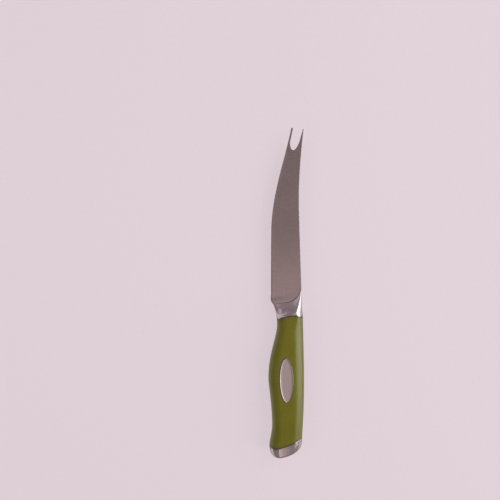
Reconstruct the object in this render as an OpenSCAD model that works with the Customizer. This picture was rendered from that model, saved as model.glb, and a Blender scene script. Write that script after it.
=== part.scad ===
// Tomato knife with a forked tip, lying on its side.
// The length runs along Y with the fork towards +Y, the spine faces +X and the edge faces -X.
// Sections below are drawn in knife coordinates: y counts from the butt, x from the spine line
// (negative towards the edge) and z from the middle of the thickness.

/* [Blade] */
// Length of the blade from the heel to the longer fork tip
blade_len = 120.4; // [105:0.2:140]
// Height of the blade at the heel
blade_w = 22; // [20:0.2:25]
// Thickness of the sheet at the spine and in the tang
stock_t = 1.8; // [1.4:0.1:2.2]
// Thickness at the fork
fork_t = 1; // [0.8:0.1:1.3]
// Length of the straight part of the edge
straight_edge = 48; // [35:1:60]
// How far the straight part of the edge climbs towards the spine
edge_climb = 1.7; // [0:0.1:4]
// How far the spine dips before it sweeps up
spine_dip = 0.4; // [0:0.1:1.2]
// Length of the upswept part of the spine
sweep_len = 58; // [45:1:70]
// How far the upper fork tip stands above the spine line
fork_lift = 4; // [2:0.1:6]
// Width of the sharpened strip along the edge
bevel_w = 0.9; // [0.5:0.1:1.4]
// Thickness of the blade where the sharpened strip starts
bevel_t = 0.5; // [0.3:0.05:0.8]
// Small chamfer along the spine
spine_chamfer = 0.25; // [0.1:0.05:0.4]

/* [Fork] */
// Distance between the two fork tips
fork_span = 8.5; // [8:0.1:11]
// Width of the notch between the prongs
notch_w = 6.8; // [4.4:0.1:7]
// Depth of the notch from the lower tip
notch_depth = 15.5; // [9:0.5:18]
// Lean of the notch towards the spine, in degrees
notch_lean = 13; // [6:1:16]
// How far the upper prong stays behind the lower one
prong_step = 1.1; // [0:0.1:2]
// Length over which a prong comes to its point
point_len = 5; // [2:0.5:6]
// Width left at the tip of a prong
prong_tip = 0.4; // [0.2:0.05:0.8]

/* [Serration] */
// Distance from tooth to tooth
tooth_pitch = 1.5; // [1.2:0.1:2.5]
// Depth of the gullets
tooth_depth = 0.3; // [0.2:0.05:0.5]
// Land left at each tooth tip
tooth_land = 0.12; // [0.08:0.02:0.3]
// Angle between the gullets and the blade, in degrees
gullet_angle = 20; // [15:1:30]
// Plain edge left at the heel
plain_heel = 3; // [2:0.5:8]
// Plain edge left below the fork
plain_tip = 16; // [14:1:30]

/* [Bolster] */
// Length of the bolster from the heel to the handle, along the back
bolster_len = 13.4; // [11:0.2:18]
// How far the nose of the bolster reaches past the heel along the spine
nose_reach = 7; // [4:0.5:10]
// Width of the nose where it leaves the heel line
nose_w = 3.5; // [2.5:0.1:5]
// How far the heel line lies behind the heel corner
heel_back = 3.8; // [3:0.2:5]
// How much the blade narrows behind the heel corner
heel_in = 1.4; // [1:0.1:2.5]
// Wall of the bolster beside the blade at its front line
lip_t = 0.4; // [0.3:0.05:0.8]
// The same wall at the nose
nose_lip_t = 1.6; // [0.8:0.1:2.2]
// Depth of the rounding at the belly end of the front line
heel_round = 1.2; // [0.8:0.1:2]
// Depth of the rounding along the back of the nose
nose_round = 5; // [3:0.2:7]

/* [Handle] */
// Length of the handle and end cap along the back
grip_len = 108.4; // [100:0.2:125]
// Thickness of the handle at its flat sides
grip_t = 16.6; // [14:0.2:19]
// Thickness where the handle meets the bolster
neck_t = 15.4; // [13:0.2:16.4]
// Length over which the handle slims down to that thickness
slim_len = 26; // [15:1:40]
// Depth of the belly below the spine line at the neck
neck_depth = 18; // [17:0.2:20]
// Depth at the finger swell
swell_depth = 25.5; // [23:0.2:27]
// Depth at the waist behind the swell
waist_depth = 23.8; // [22:0.2:25]
// Depth at the flared butt
butt_depth = 26.4; // [25:0.2:28]
// Distance of the neck from the seam between bolster and handle
neck_back = 5.6; // [4:0.2:10]
// Distance of the swell from the butt
swell_y = 60; // [54:1:68]
// Distance of the waist from the butt
waist_y = 27; // [23:1:32]
// Distance of the flare from the butt
flare_y = 7.6; // [6.8:0.2:8.4]
// How far the back stands above the spine line at the neck
back_rise = 0.55; // [0:0.05:1.5]
// How far the back falls towards the butt
back_drop = 4; // [1:0.1:5]
// Length over which the back falls
drop_len = 73; // [60:1:90]
// Depth of the rounding along the back
back_round = 7.8; // [5:0.2:8]
// The same where the handle meets the bolster
neck_round = 4.8; // [4:0.2:8]
// Width of the flat along the back
back_flat = 3; // [0.4:0.2:7]
// Depth of the rounding along the belly
belly_round = 7.4; // [5:0.2:8]
// Slant of the seam between bolster and handle
neck_slant = 1.8; // [0:0.1:4]
// Bow of the seam between bolster and handle
neck_bow = 3.3; // [0:0.1:4]
// Length of the bolster over which the back rises to the handle
rise_len = 5; // [3:0.5:9]

/* [End cap] */
// Length of the cap along the back
cap_back_len = 15.6; // [14:0.2:20]
// Length of the cap along the belly
cap_belly_len = 8.8; // [8.6:0.1:12]
// Bow of the seam between handle and cap, near the belly
cap_bow = 3.6; // [0:0.1:4]
// Bow of the same seam near the back
cap_back_bow = 0.8; // [0:0.1:3]
// How far the back corner of the butt lies ahead of the belly corner
butt_slant = 5; // [3:0.2:6]
// Radius of the belly corner of the butt
belly_corner = 3.8; // [3:0.2:5]
// Radius of the back corner of the butt
back_corner = 2.4; // [2:0.2:3.4]
// Width of the flat left on the butt
butt_flat = 5; // [2:0.5:8]
// Depth of the rounding around the butt
butt_round = 3.6; // [2.5:0.1:5]
// Bow of the butt between its corners
butt_bow = 3.3; // [2:0.1:4]

/* [Badge] */
// Length of the oval badge
badge_len = 34.6; // [25:0.5:40]
// Width of the oval badge
badge_w = 10; // [6:0.2:10.2]
// Thickness of the badge plate
badge_t = 1; // [0.8:0.1:1.5]
// How far the badge stands proud of the handle
badge_proud = 0.2; // [0:0.05:0.4]
// Width of the rim around the field of the badge
badge_rim = 0.6; // [0.4:0.1:1]
// Depth of the field below the rim
badge_sink = 0.15; // [0.1:0.05:0.3]
// Distance of the centre of the badge from the butt
badge_y = 62.4; // [55:0.2:66]
// Distance of the centre of the badge from the spine line
badge_x = 12.6; // [12:0.1:13.2]
// Diameter of the studs under the badge
stud_d = 2; // [1.5:0.1:3]
// Length of the studs
stud_len = 3; // [2:0.5:4]
// Distance between the two studs
stud_gap = 20; // [12:1:20]

/* [Tang and joints] */
// Width of the tang at the bolster
tang_w = 9; // [8:0.2:10]
// Width of the tang at its end
tang_end_w = 7; // [6:0.2:8]
// Distance of the middle of the tang from the spine line at the bolster
tang_x = 9.6; // [9:0.1:10.2]
// The same distance at the end of the tang
tang_end_x = 13; // [12:0.2:14]
// Distance of the end of the tang from the butt
tang_end_y = 6.5; // [5.5:0.5:9]
// Height of the spigots on bolster and cap
spigot_w = 11.4; // [11:0.2:12.4]
// Thickness of the spigots
spigot_t = 7; // [5:0.2:8]
// Length of the bolster spigot inside the handle
spigot_len = 6; // [4:0.5:9]
// Length of the cap spigot inside the handle
cap_spigot_len = 10; // [9:0.5:14]
// Corner radius of the spigots
spigot_r = 2; // [1:0.1:2.4]
// Diameter of the pin through cap and tang
pin_d = 2.5; // [2:0.1:3.2]
// Distance of the pin from the seat of the cap
pin_up = 5; // [4:0.5:6]
// Clearance around the tang
tang_gap = 0.1; // [0.05:0.05:0.2]
// Clearance around spigots, pin, studs and badge
fit_gap = 0.1; // [0.05:0.05:0.2]
// Gap in the seams between neighbouring pieces
seam_gap = 0.04; // [0.02:0.02:0.1]

/* [Hidden] */

// Stations along the knife, counted from the butt
heel_y = grip_len + bolster_len;
tip_y = heel_y + blade_len;
nose_y = heel_y + nose_reach;
heel_line_y = heel_y - heel_back;
neck_y = grip_len - neck_back;
seam_belly_y = grip_len - neck_slant;
upper_tip_y = tip_y - prong_step;
lower_tip_x = fork_lift - fork_span;
// Where the neck has swelled to the full thickness of the grip
full_grip_y = grip_len - slim_len;
// Length of the full-thickness strip in front of the bolster, and over which the grind then thins the edge
shoulder_run = 0.8;
grind_run = 5;
// Steps on the quarter of a rounded side and across the flat between two of them
round_steps = 7;
flat_steps = 3;
// How far the belly corner of the butt stands above the butt line, and the overlap of joined solids
butt_lift = 0.8;
eps = 0.01;

// General functions
function lerp(a, b, t) = a + (b - a) * t;
function clamp(t) = max(0, min(1, t));
function smooth(t) = let (c = clamp(t)) c * c * (3 - 2 * c);
// Cubic curve through four numbers or points
function curve(p, t) =
    let (u = 1 - t) p[0] * u * u * u + p[1] * 3 * t * u * u + p[2] * 3 * t * t * u + p[3] * t * t * t;
// The parameter at which a rising or falling curve takes a value, by halving
function find(p, v, lo = 0, hi = 1, n = 24) =
    let (mid = (lo + hi) / 2)
    n == 0 ? mid
    : (curve(p, mid) < v) == (p[3] > p[0]) ? find(p, v, mid, hi, n - 1)
    : find(p, v, lo, mid, n - 1);
// The x of a plan curve with control points at x and y, at a given y
function at_y(px, py, y) = curve(px, find(py, y));

// Outline of the blade
function spine_x(y) =
    let (start = tip_y - sweep_len)
    y < start ? -spine_dip * clamp((y - heel_y) / (start - heel_y))
    : at_y([-spine_dip, -spine_dip, 0.33 * fork_lift - spine_dip / 2, fork_lift],
        [start, start + 0.33 * sweep_len, start + 0.62 * sweep_len, upper_tip_y], min(y, upper_tip_y));
function edge_x(y) =
    let (belly_y = heel_y + straight_edge, belly_x = edge_climb - blade_w, left = tip_y - belly_y)
    y < heel_y ? at_y([heel_in - blade_w, heel_in / 3 - blade_w, -blade_w, -blade_w],
        [heel_line_y, heel_line_y + 0.27 * heel_back, heel_y - 0.4 * heel_back, heel_y], max(y, heel_line_y))
    : y < belly_y ? lerp(-blade_w, belly_x, (y - heel_y) / straight_edge)
    : at_y([belly_x, belly_x + 0.4 * left * edge_climb / straight_edge,
            lower_tip_x - 0.05 * left, lower_tip_x],
        [belly_y, belly_y + 0.4 * left, tip_y - 0.25 * left, tip_y], min(y, tip_y));

// Outline of bolster and handle: the back, and the belly from heel to flare
function back_x(y) =
    y > grip_len ? back_rise * (1 - smooth((y - grip_len) / rise_len))
    : back_rise - back_drop * pow(max(0, drop_len - y) / drop_len, 2);
function belly_x(y) =
    y > neck_y ? at_y(
        [heel_in - blade_w, lerp(heel_in - blade_w, -neck_depth, 0.46), -neck_depth, -neck_depth],
        [heel_line_y, lerp(heel_line_y, neck_y, 0.22), lerp(heel_line_y, neck_y, 0.5), neck_y], y)
    : y > swell_y ? at_y([-neck_depth, -neck_depth, -swell_depth, -swell_depth],
        [neck_y, lerp(neck_y, swell_y, 0.22), lerp(neck_y, swell_y, 0.55), swell_y], y)
    : y > waist_y ? at_y([-swell_depth, -swell_depth, -waist_depth, -waist_depth],
        [swell_y, lerp(swell_y, waist_y, 0.1), lerp(swell_y, waist_y, 0.5), waist_y], y)
    : at_y([-waist_depth, -waist_depth, -butt_depth, -butt_depth],
        [waist_y, lerp(waist_y, flare_y, 0.44), lerp(waist_y, flare_y, 0.78), flare_y], max(y, flare_y));

// A rung is a curve across the plan from belly to back: four control points.
// off_b and off_a push its inner control points away from the straight line.
function rung(b, a, off_b, off_a) = [b, lerp(b, a, 1 / 3) + off_b, lerp(b, a, 2 / 3) + off_a, a];
function bowed(b, a, bow) = rung(b, a, [0, bow * 4 / 3], [0, bow * 4 / 3]);
function moved(r, d) = [for (p = r) p + d];
function span(r) = norm(r[3] - r[0]);

// Half section of the grip along a rung, as [share of the rung, height] pairs: a quarter ellipse at
// each side, a flat between them, and half the flat of the back
function rise(u) = u < 1 ? sqrt(1 - pow(1 - u, 2)) : 1;
function shares(width, round_b, round_a) = concat(
    [for (i = [0:round_steps]) round_b * (1 - cos(90 * i / round_steps)) / width],
    [for (i = [1:flat_steps - 1]) lerp(round_b / width, 1 - round_a / width, i / flat_steps)],
    [for (i = [round_steps:-1:0]) 1 - round_a * (1 - cos(90 * i / round_steps)) / width]);
function crest(h) = h * back_flat / grip_t;
function grip_profile(width, h, round_b, round_a) =
    [for (s = shares(width, round_b, round_a))
        [s, lerp(crest(h), h, rise((1 - s) * width / round_a)) * rise(s * width / round_b)]];
// Half section of the blade: sharpened strip, flat grind and chamfered spine
function blade_profile(width, z_bevel, z_spine) = concat(
    [[0, 0]],
    [for (i = [0:flat_steps]) let (s = lerp(bevel_w / width, 1 - spine_chamfer / width, i / flat_steps))
        [s, lerp(z_bevel, z_spine, i / flat_steps)]],
    [[1, z_spine - spine_chamfer]]);

// Ring of points around a section; mirrored below, without the points that lie on the middle plane
function ring(r, prof) =
    let (top = [for (p = prof) let (q = curve(r, p[0])) [q[0], q[1], p[1]]])
    concat(top, [for (i = [len(top) - 1:-1:0]) if (top[i][2] > 0) [top[i][0], top[i][1], -top[i][2]]]);
// Solid through rings, listed from the butt towards the tip; n is the number of points on the upper side
module loft(rings, n) {
    m = len(rings[0]);
    last = (len(rings) - 1) * m;
    function low(i) = i == 0 ? 0 : m - i;
    sides = [for (k = [0:len(rings) - 2], i = [0:m - 1])
        let (a = k * m + i, b = k * m + (i + 1) % m, c = b + m, d = a + m)
        for (f = [[d, c, b], [d, b, a]]) f];
    near = [for (i = [0:n - 2]) [i, i + 1, low(i + 1), low(i)]];
    far = [for (f = near) [for (j = [3:-1:0]) last + f[j]]];
    polyhedron([for (r = rings) for (p = r) p], concat(sides, clean(near), clean(far)));
}
// Faces without repeated corners
function clean(faces) = [for (f = faces)
    let (g = [for (j = [0:len(f) - 1]) if (f[j] != f[(j + 1) % len(f)]) f[j]])
    if (len(g) > 2) g];

// Seams across the plan
neck_seam = bowed([belly_x(seam_belly_y), seam_belly_y], [back_x(grip_len), grip_len], neck_bow);
cap_seam = rung([belly_x(cap_belly_len), cap_belly_len], [back_x(cap_back_len), cap_back_len],
    [0, -cap_bow], [0, -cap_back_bow]);
heel_seam = [[heel_in - blade_w, heel_line_y], [-0.38 * blade_w, heel_line_y + 0.2 * heel_back],
    [-nose_w, heel_line_y + 0.08 * heel_back], [back_x(nose_y), nose_y]];

// Rungs of the bolster at a share q of its length, with its scooped half thickness
function seam_offset(r, i) = r[i] - lerp(r[0], r[3], i / 3);
function bolster_rung(q) =
    let (yb = lerp(seam_belly_y, heel_line_y, q), ya = lerp(grip_len, nose_y, q))
    rung([belly_x(yb), yb], [back_x(ya), ya],
        lerp(seam_offset(neck_seam, 1), seam_offset(heel_seam, 1), q),
        lerp(seam_offset(neck_seam, 2), seam_offset(heel_seam, 2), q));
heel_t = stock_t + 2 * lip_t;
nose_t = stock_t + 2 * nose_lip_t;
function scoop(t) = curve([neck_t, neck_t, heel_t, heel_t], t) / 2;
function brow(q) = curve([neck_t, neck_t, (neck_t + nose_t) / 2, nose_t], q) / 2;

// Half section of the bolster: the flat rises from the scoop's height h to the brow at the back.
// Past the seam the rounding of the back is measured across the knife, since the rungs near the
// nose run along it.
nose_run = 11;
function bolster_profile(r, q, h) =
    let (
        width = span(r),
        round_b = lerp(belly_round, heel_round, q),
        round_a = lerp(neck_round, nose_round, q * q),
        foot = lerp(crest(neck_t / 2), stock_t / 2, q))
    [for (s = shares(width, round_b, lerp(neck_round, nose_run, q)))
        let (
            p = curve(r, s),
            across = max(0, back_x(p[1]) - p[0]),
            depth = lerp((1 - s) * width, across, min(1, 4 * q)),
            top = lerp(h, brow(q), s))
        [s, lerp(foot, top, rise(depth / round_a)) * rise(s * width / round_b)]];
bolster_steps = 12;
bolster_rings = [for (i = [0:bolster_steps])
    let (t = i / bolster_steps, q = curve([0, 0.22, 0.3, 1], t), r = bolster_rung(q))
    ring(moved(r, [0, seam_gap / 2]), bolster_profile(r, q, scoop(t)))];

// Rungs of the handle, from the cap seam to the neck seam
handle_steps = 34;
function handle_rung(q) =
    let (yb = lerp(cap_belly_len, seam_belly_y, q), ya = lerp(cap_back_len, grip_len, q),
        front = pow(q, 4), rear = pow(1 - q, 4))
    rung([belly_x(yb), yb], [back_x(ya), ya],
        seam_offset(neck_seam, 1) * front + seam_offset(cap_seam, 1) * rear,
        seam_offset(neck_seam, 2) * front + seam_offset(cap_seam, 2) * rear);
function grip_half(y) = lerp(grip_t, neck_t, smooth((y - full_grip_y) / (grip_len - full_grip_y))) / 2;
neck_run = 13;
function grip_round(y) = lerp(back_round, neck_round, smooth(1 - (grip_len - y) / neck_run));
handle_rings = [for (i = [0:handle_steps])
    let (
        q = i / handle_steps,
        r = handle_rung(q),
        shift = lerp(seam_gap / 2, -seam_gap / 2, q),
        y = r[3][1])
    ring(moved(r, [0, shift]), grip_profile(span(r), grip_half(y), belly_round, grip_round(y)))];

// Rungs of the cap, from the butt to the cap seam
butt_belly = [-butt_depth + belly_corner, butt_lift];
butt_back = [back_x(cap_back_len) - back_corner, butt_lift + butt_slant];
butt_rung = rung(butt_belly, butt_back, [-0.8 * butt_bow, -butt_bow], [0, -butt_bow]);
cap_belly_path = [cap_seam[0], [-butt_depth - 0.1, cap_belly_len / 2],
    [-butt_depth + 0.25 * belly_corner, 1.6 * butt_lift], butt_belly];
cap_back_path = [cap_seam[3], cap_seam[3] - [0.3, 0.37 * (cap_back_len - butt_back[1])],
    butt_back + [0.9 * back_corner, 0.9 * back_corner], butt_back];
function cap_rung(q) =
    let (b = curve(cap_belly_path, q), a = curve(cap_back_path, q))
    rung(b, a, lerp(seam_offset(cap_seam, 1), seam_offset(butt_rung, 1), q),
        lerp(seam_offset(cap_seam, 2), seam_offset(butt_rung, 2), q));
cap_mid_len = curve(cap_seam, 0.5)[1] - curve(butt_rung, 0.5)[1];
butt_share = butt_round / cap_mid_len;
cap_rings = [for (i = [0:10])
    let (v = 90 * min(i, 6) / 6, t = i < 6 ? butt_share * (1 - cos(v)) : lerp(butt_share, 1, (i - 6) / 4),
        r = cap_rung(1 - t), h = lerp(butt_flat, grip_t, sin(v)) / 2)
    ring(moved(r, [0, i == 10 ? -seam_gap / 2 : 0]), grip_profile(span(r), h, belly_round, back_round))];

// The knife lies on its flat side with the middle of its box over the origin
butt_y = min([for (i = [0:40]) curve(butt_rung, i / 40)[1]]);
lowest_x = min([for (i = [0:40]) curve(cap_belly_path, i / 40)[0]]);
module laid() {
    translate([-(lowest_x + fork_lift) / 2, -(butt_y + tip_y) / 2, grip_t / 2])
        children();
}

// Rungs of the blade, from the bolster to the fork
blade_steps = 30;
function blade_rung(yb) =
    let (q = (yb - heel_line_y) / (tip_y - heel_line_y), ya = lerp(nose_y, upper_tip_y, q),
        w = 1 - smooth((yb - heel_line_y) / (0.25 * blade_len)))
    rung([edge_x(yb), yb], [spine_x(ya), ya], seam_offset(heel_seam, 1) * w, seam_offset(heel_seam, 2) * w);
function sheet_half(yb) = lerp(stock_t, fork_t, (yb - heel_line_y) / (tip_y - heel_line_y)) / 2;
function bevel_half(yb) =
    lerp(sheet_half(yb), bevel_t / 2, smooth((yb - heel_line_y - shoulder_run) / grind_run));
function blade_ring(r, yb) = ring(r, blade_profile(span(r), bevel_half(yb), sheet_half(yb)));
root_profile = blade_profile(span(heel_seam), stock_t / 2, stock_t / 2);
// Close rings over the run-out of the grind, then even ones to the tip
function blade_share(i) = i < 7 ? 0.01 * i : lerp(0.07, 1, (i - 7) / (blade_steps - 7));
blade_rings = concat(
    [ring(moved(heel_seam, [0, seam_gap / 2]), root_profile)],
    [ring(moved(heel_seam, [0, shoulder_run]), root_profile)],
    [for (i = [1:blade_steps])
        let (yb = lerp(heel_line_y + shoulder_run, tip_y, blade_share(i)))
        blade_ring(blade_rung(yb), yb)]);

// Notch of the fork: straight sides, a long round bottom and a mouth that opens to sharpen the prongs
function notch_outline() =
    let (half = notch_w / 2, bottom = 1.4 * notch_w, mouth = fork_span / 2 - prong_tip)
    concat(
        [for (v = [0:10:180]) [half * cos(v), bottom * (1 - sin(v)) - notch_depth]],
        [[-half, -point_len], [-mouth, 0], [-mouth, mouth],
            [mouth, mouth], [mouth, -prong_step], [half, -point_len - prong_step]]);
module notch() {
    translate([(fork_lift + lower_tip_x) / 2, tip_y, -stock_t])
        rotate(-notch_lean)
            linear_extrude(2 * stock_t)
                polygon(notch_outline());
}

// One gullet: a channel with a round bottom, ground across the edge from the upper side
gullet_r = pow(tooth_pitch / 2, 2) / (2 * tooth_depth * sin(gullet_angle));
module gullet() {
    half = (tooth_pitch - tooth_land) / 2;
    rotate([90 - gullet_angle, 0, 90])
        translate([0, 0, -bevel_w])
            linear_extrude(4 * bevel_w)
                intersection() {
                    translate([0, gullet_r])
                        circle(gullet_r);
                    translate([-half, 0])
                        square([2 * half, tooth_pitch]);
                }
}
module teeth() {
    first = heel_y + plain_heel;
    count = floor((tip_y - plain_tip - first) / tooth_pitch);
    for (i = [0:count]) {
        y = first + i * tooth_pitch;
        slope = atan(edge_x(y + 0.5) - edge_x(y - 0.5));
        translate([edge_x(y) + tooth_depth, y, 0])
            rotate(-slope)
                gullet();
    }
}

// Tang: a straight bar in the plan that runs from the blade into the cap
function tang_mid(y) = -lerp(tang_end_x, tang_x, (y - tang_end_y) / (grip_len - tang_end_y));
function tang_half(y) = lerp(tang_end_w, tang_w, (y - tang_end_y) / (grip_len - tang_end_y)) / 2;
module tang_bar(top_y, grow = 0) {
    end_y = tang_end_y - grow;
    translate([0, 0, -stock_t / 2 - grow])
        linear_extrude(stock_t + 2 * grow)
            polygon([
                [tang_mid(end_y) - tang_half(end_y) - grow, end_y],
                [tang_mid(end_y) + tang_half(end_y) + grow, end_y],
                [tang_mid(top_y) + tang_half(top_y) + grow, top_y],
                [tang_mid(top_y) - tang_half(top_y) - grow, top_y]]);
}
pin_y = curve(cap_seam, 0.5)[1] + pin_up;
module pin_hole() {
    translate([tang_mid(pin_y), pin_y, -grip_t / 2])
        cylinder(d = pin_d + 2 * fit_gap, h = grip_t, $fn = 32);
}

// Bar with true round corners from y = from to y = to
module spigot(x, from, to, grow = 0) {
    w = spigot_w / 2 - spigot_r;
    t = spigot_t / 2 - spigot_r;
    r = spigot_r + grow;
    translate([x, to, 0])
        rotate([90, 0, 0])
            linear_extrude(to - from)
                union() {
                    square([2 * (w + r), 2 * t], center = true);
                    square([2 * w, 2 * (t + r)], center = true);
                    for (sx = [-1, 1], sz = [-1, 1])
                        translate([sx * w, sz * t])
                            circle(r, $fn = 32);
                }
}
bolster_spigot_end = curve(neck_seam, 0.5)[1] - spigot_len;
cap_spigot_end = curve(cap_seam, 0.5)[1] + cap_spigot_len;

// Forked blade with its tang, ground from the heel
module blade() {
    color("silver") laid() {
        difference() {
            union() {
                loft(blade_rings, flat_steps + 3);
                tang_root();
                tang_bar(heel_line_y - shoulder_run);
            }
            notch();
            teeth();
            pin_hole();
        }
    }
}
// Short full-thickness root that joins the tang to the shoulders of the blade
module tang_root() {
    from = find([for (p = heel_seam) p[0]], tang_mid(heel_line_y) - tang_half(heel_line_y));
    to = find([for (p = heel_seam) p[0]], tang_mid(heel_line_y) + tang_half(heel_line_y));
    foot = heel_line_y - stock_t;
    translate([0, 0, -stock_t / 2])
        linear_extrude(stock_t)
            polygon(concat(
                [[tang_mid(foot) + tang_half(foot), foot], [tang_mid(foot) - tang_half(foot), foot]],
                [for (i = [0:8]) curve(heel_seam, lerp(from, to, i / 8)) + [0, shoulder_run / 2]]));
}

// Front steel cap, scooped down to the blade, with a spigot into the handle
module bolster() {
    color("lightgray") laid() {
        difference() {
            union() {
                loft(bolster_rings, 2 * round_steps + flat_steps + 1);
                spigot(tang_mid(grip_len), bolster_spigot_end, grip_len + spigot_r);
            }
            tang_bar(nose_y, tang_gap);
        }
    }
}

// Moulded handle with sockets for both spigots, the tang channel and the seat of the badge
module handle() {
    color([0.42, 0.46, 0.08]) laid() {
        difference() {
            loft(handle_rings, 2 * round_steps + flat_steps + 1);
            tang_bar(nose_y, tang_gap);
            spigot(tang_mid(grip_len), bolster_spigot_end - fit_gap, nose_y, fit_gap);
            spigot(tang_mid(cap_spigot_end), 0, cap_spigot_end + fit_gap, fit_gap);
            badge_seat();
        }
    }
}

// Rear steel cap with its spigot and the slot that takes the end of the tang
module end_cap() {
    color("gainsboro") laid() {
        difference() {
            union() {
                loft(cap_rings, 2 * round_steps + flat_steps + 1);
                spigot(tang_mid(cap_spigot_end), cap_belly_len / 2, cap_spigot_end);
            }
            tang_bar(nose_y, tang_gap);
            pin_hole();
        }
    }
}

// Oval of the badge, from its length and width
module oval(length, width, height) {
    linear_extrude(height)
        polygon([for (v = [0:6:354]) [width / 2 * cos(v), length / 2 * sin(v)]]);
}
module at_badge(z) {
    translate([-badge_x, badge_y, z])
        children();
}
module studs(d, length) {
    for (side = [-1, 1])
        translate([0, side * stud_gap / 2, -length])
            cylinder(d = d, h = length + eps, $fn = 32);
}
badge_floor = grip_t / 2 + badge_proud - badge_t;
module badge_seat() {
    at_badge(badge_floor - seam_gap) {
        oval(badge_len + 2 * fit_gap, badge_w + 2 * fit_gap, badge_t + 1);
        studs(stud_d + 2 * fit_gap, stud_len + fit_gap);
    }
}
// Oval plate with a raised rim, held by two studs
module badge() {
    color("lightsteelblue") laid() at_badge(badge_floor) {
        difference() {
            oval(badge_len, badge_w, badge_t);
            translate([0, 0, badge_t - badge_sink])
                oval(badge_len - 2 * badge_rim, badge_w - 2 * badge_rim, badge_t);
        }
        studs(stud_d, stud_len);
    }
}

// Cross pin that locks the cap to the tang, inside the handle
module tang_pin() {
    color("dimgray") laid()
        translate([tang_mid(pin_y), pin_y, -spigot_t / 2])
            cylinder(d = pin_d, h = spigot_t, $fn = 32);
}

blade();
bolster();
handle();
end_cap();
badge();
tang_pin();
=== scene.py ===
"""Looks of a forked tomato knife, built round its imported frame.

Each piece of the knife is a surface worked out with numpy from the plan curves and sections that
the part's source uses. Lengths in this file are millimetres until a mesh is written, in metres.
Knife coordinates: y counts from the butt, x from the spine line (negative towards the edge) and
z from the middle of the thickness.
"""

import math

import bpy
import numpy as np
from mathutils import Matrix, Vector


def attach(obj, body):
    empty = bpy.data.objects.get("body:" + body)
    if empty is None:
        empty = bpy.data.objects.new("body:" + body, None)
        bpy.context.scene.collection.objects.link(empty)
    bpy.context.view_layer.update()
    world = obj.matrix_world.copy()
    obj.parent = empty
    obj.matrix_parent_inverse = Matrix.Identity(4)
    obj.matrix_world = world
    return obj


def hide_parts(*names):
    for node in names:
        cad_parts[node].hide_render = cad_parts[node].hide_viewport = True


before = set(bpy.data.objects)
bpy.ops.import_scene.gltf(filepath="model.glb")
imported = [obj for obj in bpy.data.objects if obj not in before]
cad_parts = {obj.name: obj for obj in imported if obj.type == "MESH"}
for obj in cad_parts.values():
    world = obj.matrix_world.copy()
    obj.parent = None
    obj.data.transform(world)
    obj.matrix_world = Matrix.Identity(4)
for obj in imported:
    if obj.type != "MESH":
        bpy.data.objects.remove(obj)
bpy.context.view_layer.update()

# Sizes of the knife
BLADE_LEN, BLADE_W, STOCK_T, FORK_T = 120.4, 22.0, 1.8, 1.0
STRAIGHT_EDGE, EDGE_CLIMB, SPINE_DIP, SWEEP_LEN, FORK_LIFT = 48.0, 1.7, 0.4, 58.0, 4.0
BEVEL_W, BEVEL_T, SPINE_CHAMFER = 0.9, 0.5, 0.25
FORK_SPAN, PRONG_STEP, POINT_LEN, PRONG_TIP = 8.5, 1.1, 5.0, 0.4
NOTCH_W, NOTCH_DEPTH, NOTCH_LEAN = 6.8, 15.5, 13.0
TOOTH_PITCH, TOOTH_DEPTH, TOOTH_LAND, GULLET_ANGLE, PLAIN_HEEL, PLAIN_TIP = 1.5, 0.3, 0.12, 20.0, 3.0, 16.0
BOLSTER_LEN, NOSE_REACH, NOSE_W, HEEL_BACK, HEEL_IN, LIP_T, HEEL_ROUND = 13.4, 7.0, 3.5, 3.8, 1.4, 0.4, 1.2
NOSE_LIP_T, NOSE_ROUND, NOSE_RUN, NECK_ROUND, NECK_RUN, BACK_FLAT = 1.6, 5.0, 11.0, 4.8, 13.0, 3.0
GRIP_LEN, GRIP_T, NECK_T, NECK_TAPER = 108.4, 16.6, 15.4, 26.0
NECK_DEPTH, SWELL_DEPTH, WAIST_DEPTH, BUTT_DEPTH = 18.0, 25.5, 23.8, 26.4
NECK_BACK, SWELL_Y, WAIST_Y, FLARE_Y = 5.6, 60.0, 27.0, 7.6
BACK_RISE, BACK_DROP, DROP_LEN, BACK_ROUND, BELLY_ROUND = 0.55, 4.0, 73.0, 7.8, 7.4
NECK_SLANT, NECK_BOW, RISE_LEN = 1.8, 3.3, 5.0
CAP_BACK_LEN, CAP_BELLY_LEN, CAP_BOW, CAP_BACK_BOW = 15.6, 8.8, 3.6, 0.8
BUTT_SLANT, BUTT_FLAT, BUTT_ROUND, BUTT_BOW, BUTT_LIFT = 5.0, 5.0, 3.6, 3.3, 0.8
BELLY_CORNER, BACK_CORNER = 3.8, 2.4
BADGE_LEN, BADGE_W, BADGE_T, BADGE_PROUD, BADGE_RIM, BADGE_SINK = 34.6, 10.0, 1.0, 0.2, 0.6, 0.15
BADGE_Y, BADGE_X = 62.4, 12.6
FIT_GAP, SEAM_GAP, SHOULDER_RUN, GRIND_RUN = 0.1, 0.04, 0.8, 5.0

# Finish of the edges and faces: roundings, the crown of the grip, and how far a seam's shade reaches
EDGE_R, HEEL_EDGE_R, BADGE_EDGE_R, CROWN, SEAM_SHADE = 0.16, 0.25, 0.14, 0.3, 0.5
# Mean lengths along the knife by which rows are spaced: bolster, its way from each seam, handle
BOLSTER_RUN, FROM_NECK, FROM_HEEL, HANDLE_RUN = 17, 13, 9, 95
NOTCH_BOTTOM_LEN = 1.4 * NOTCH_W

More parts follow.
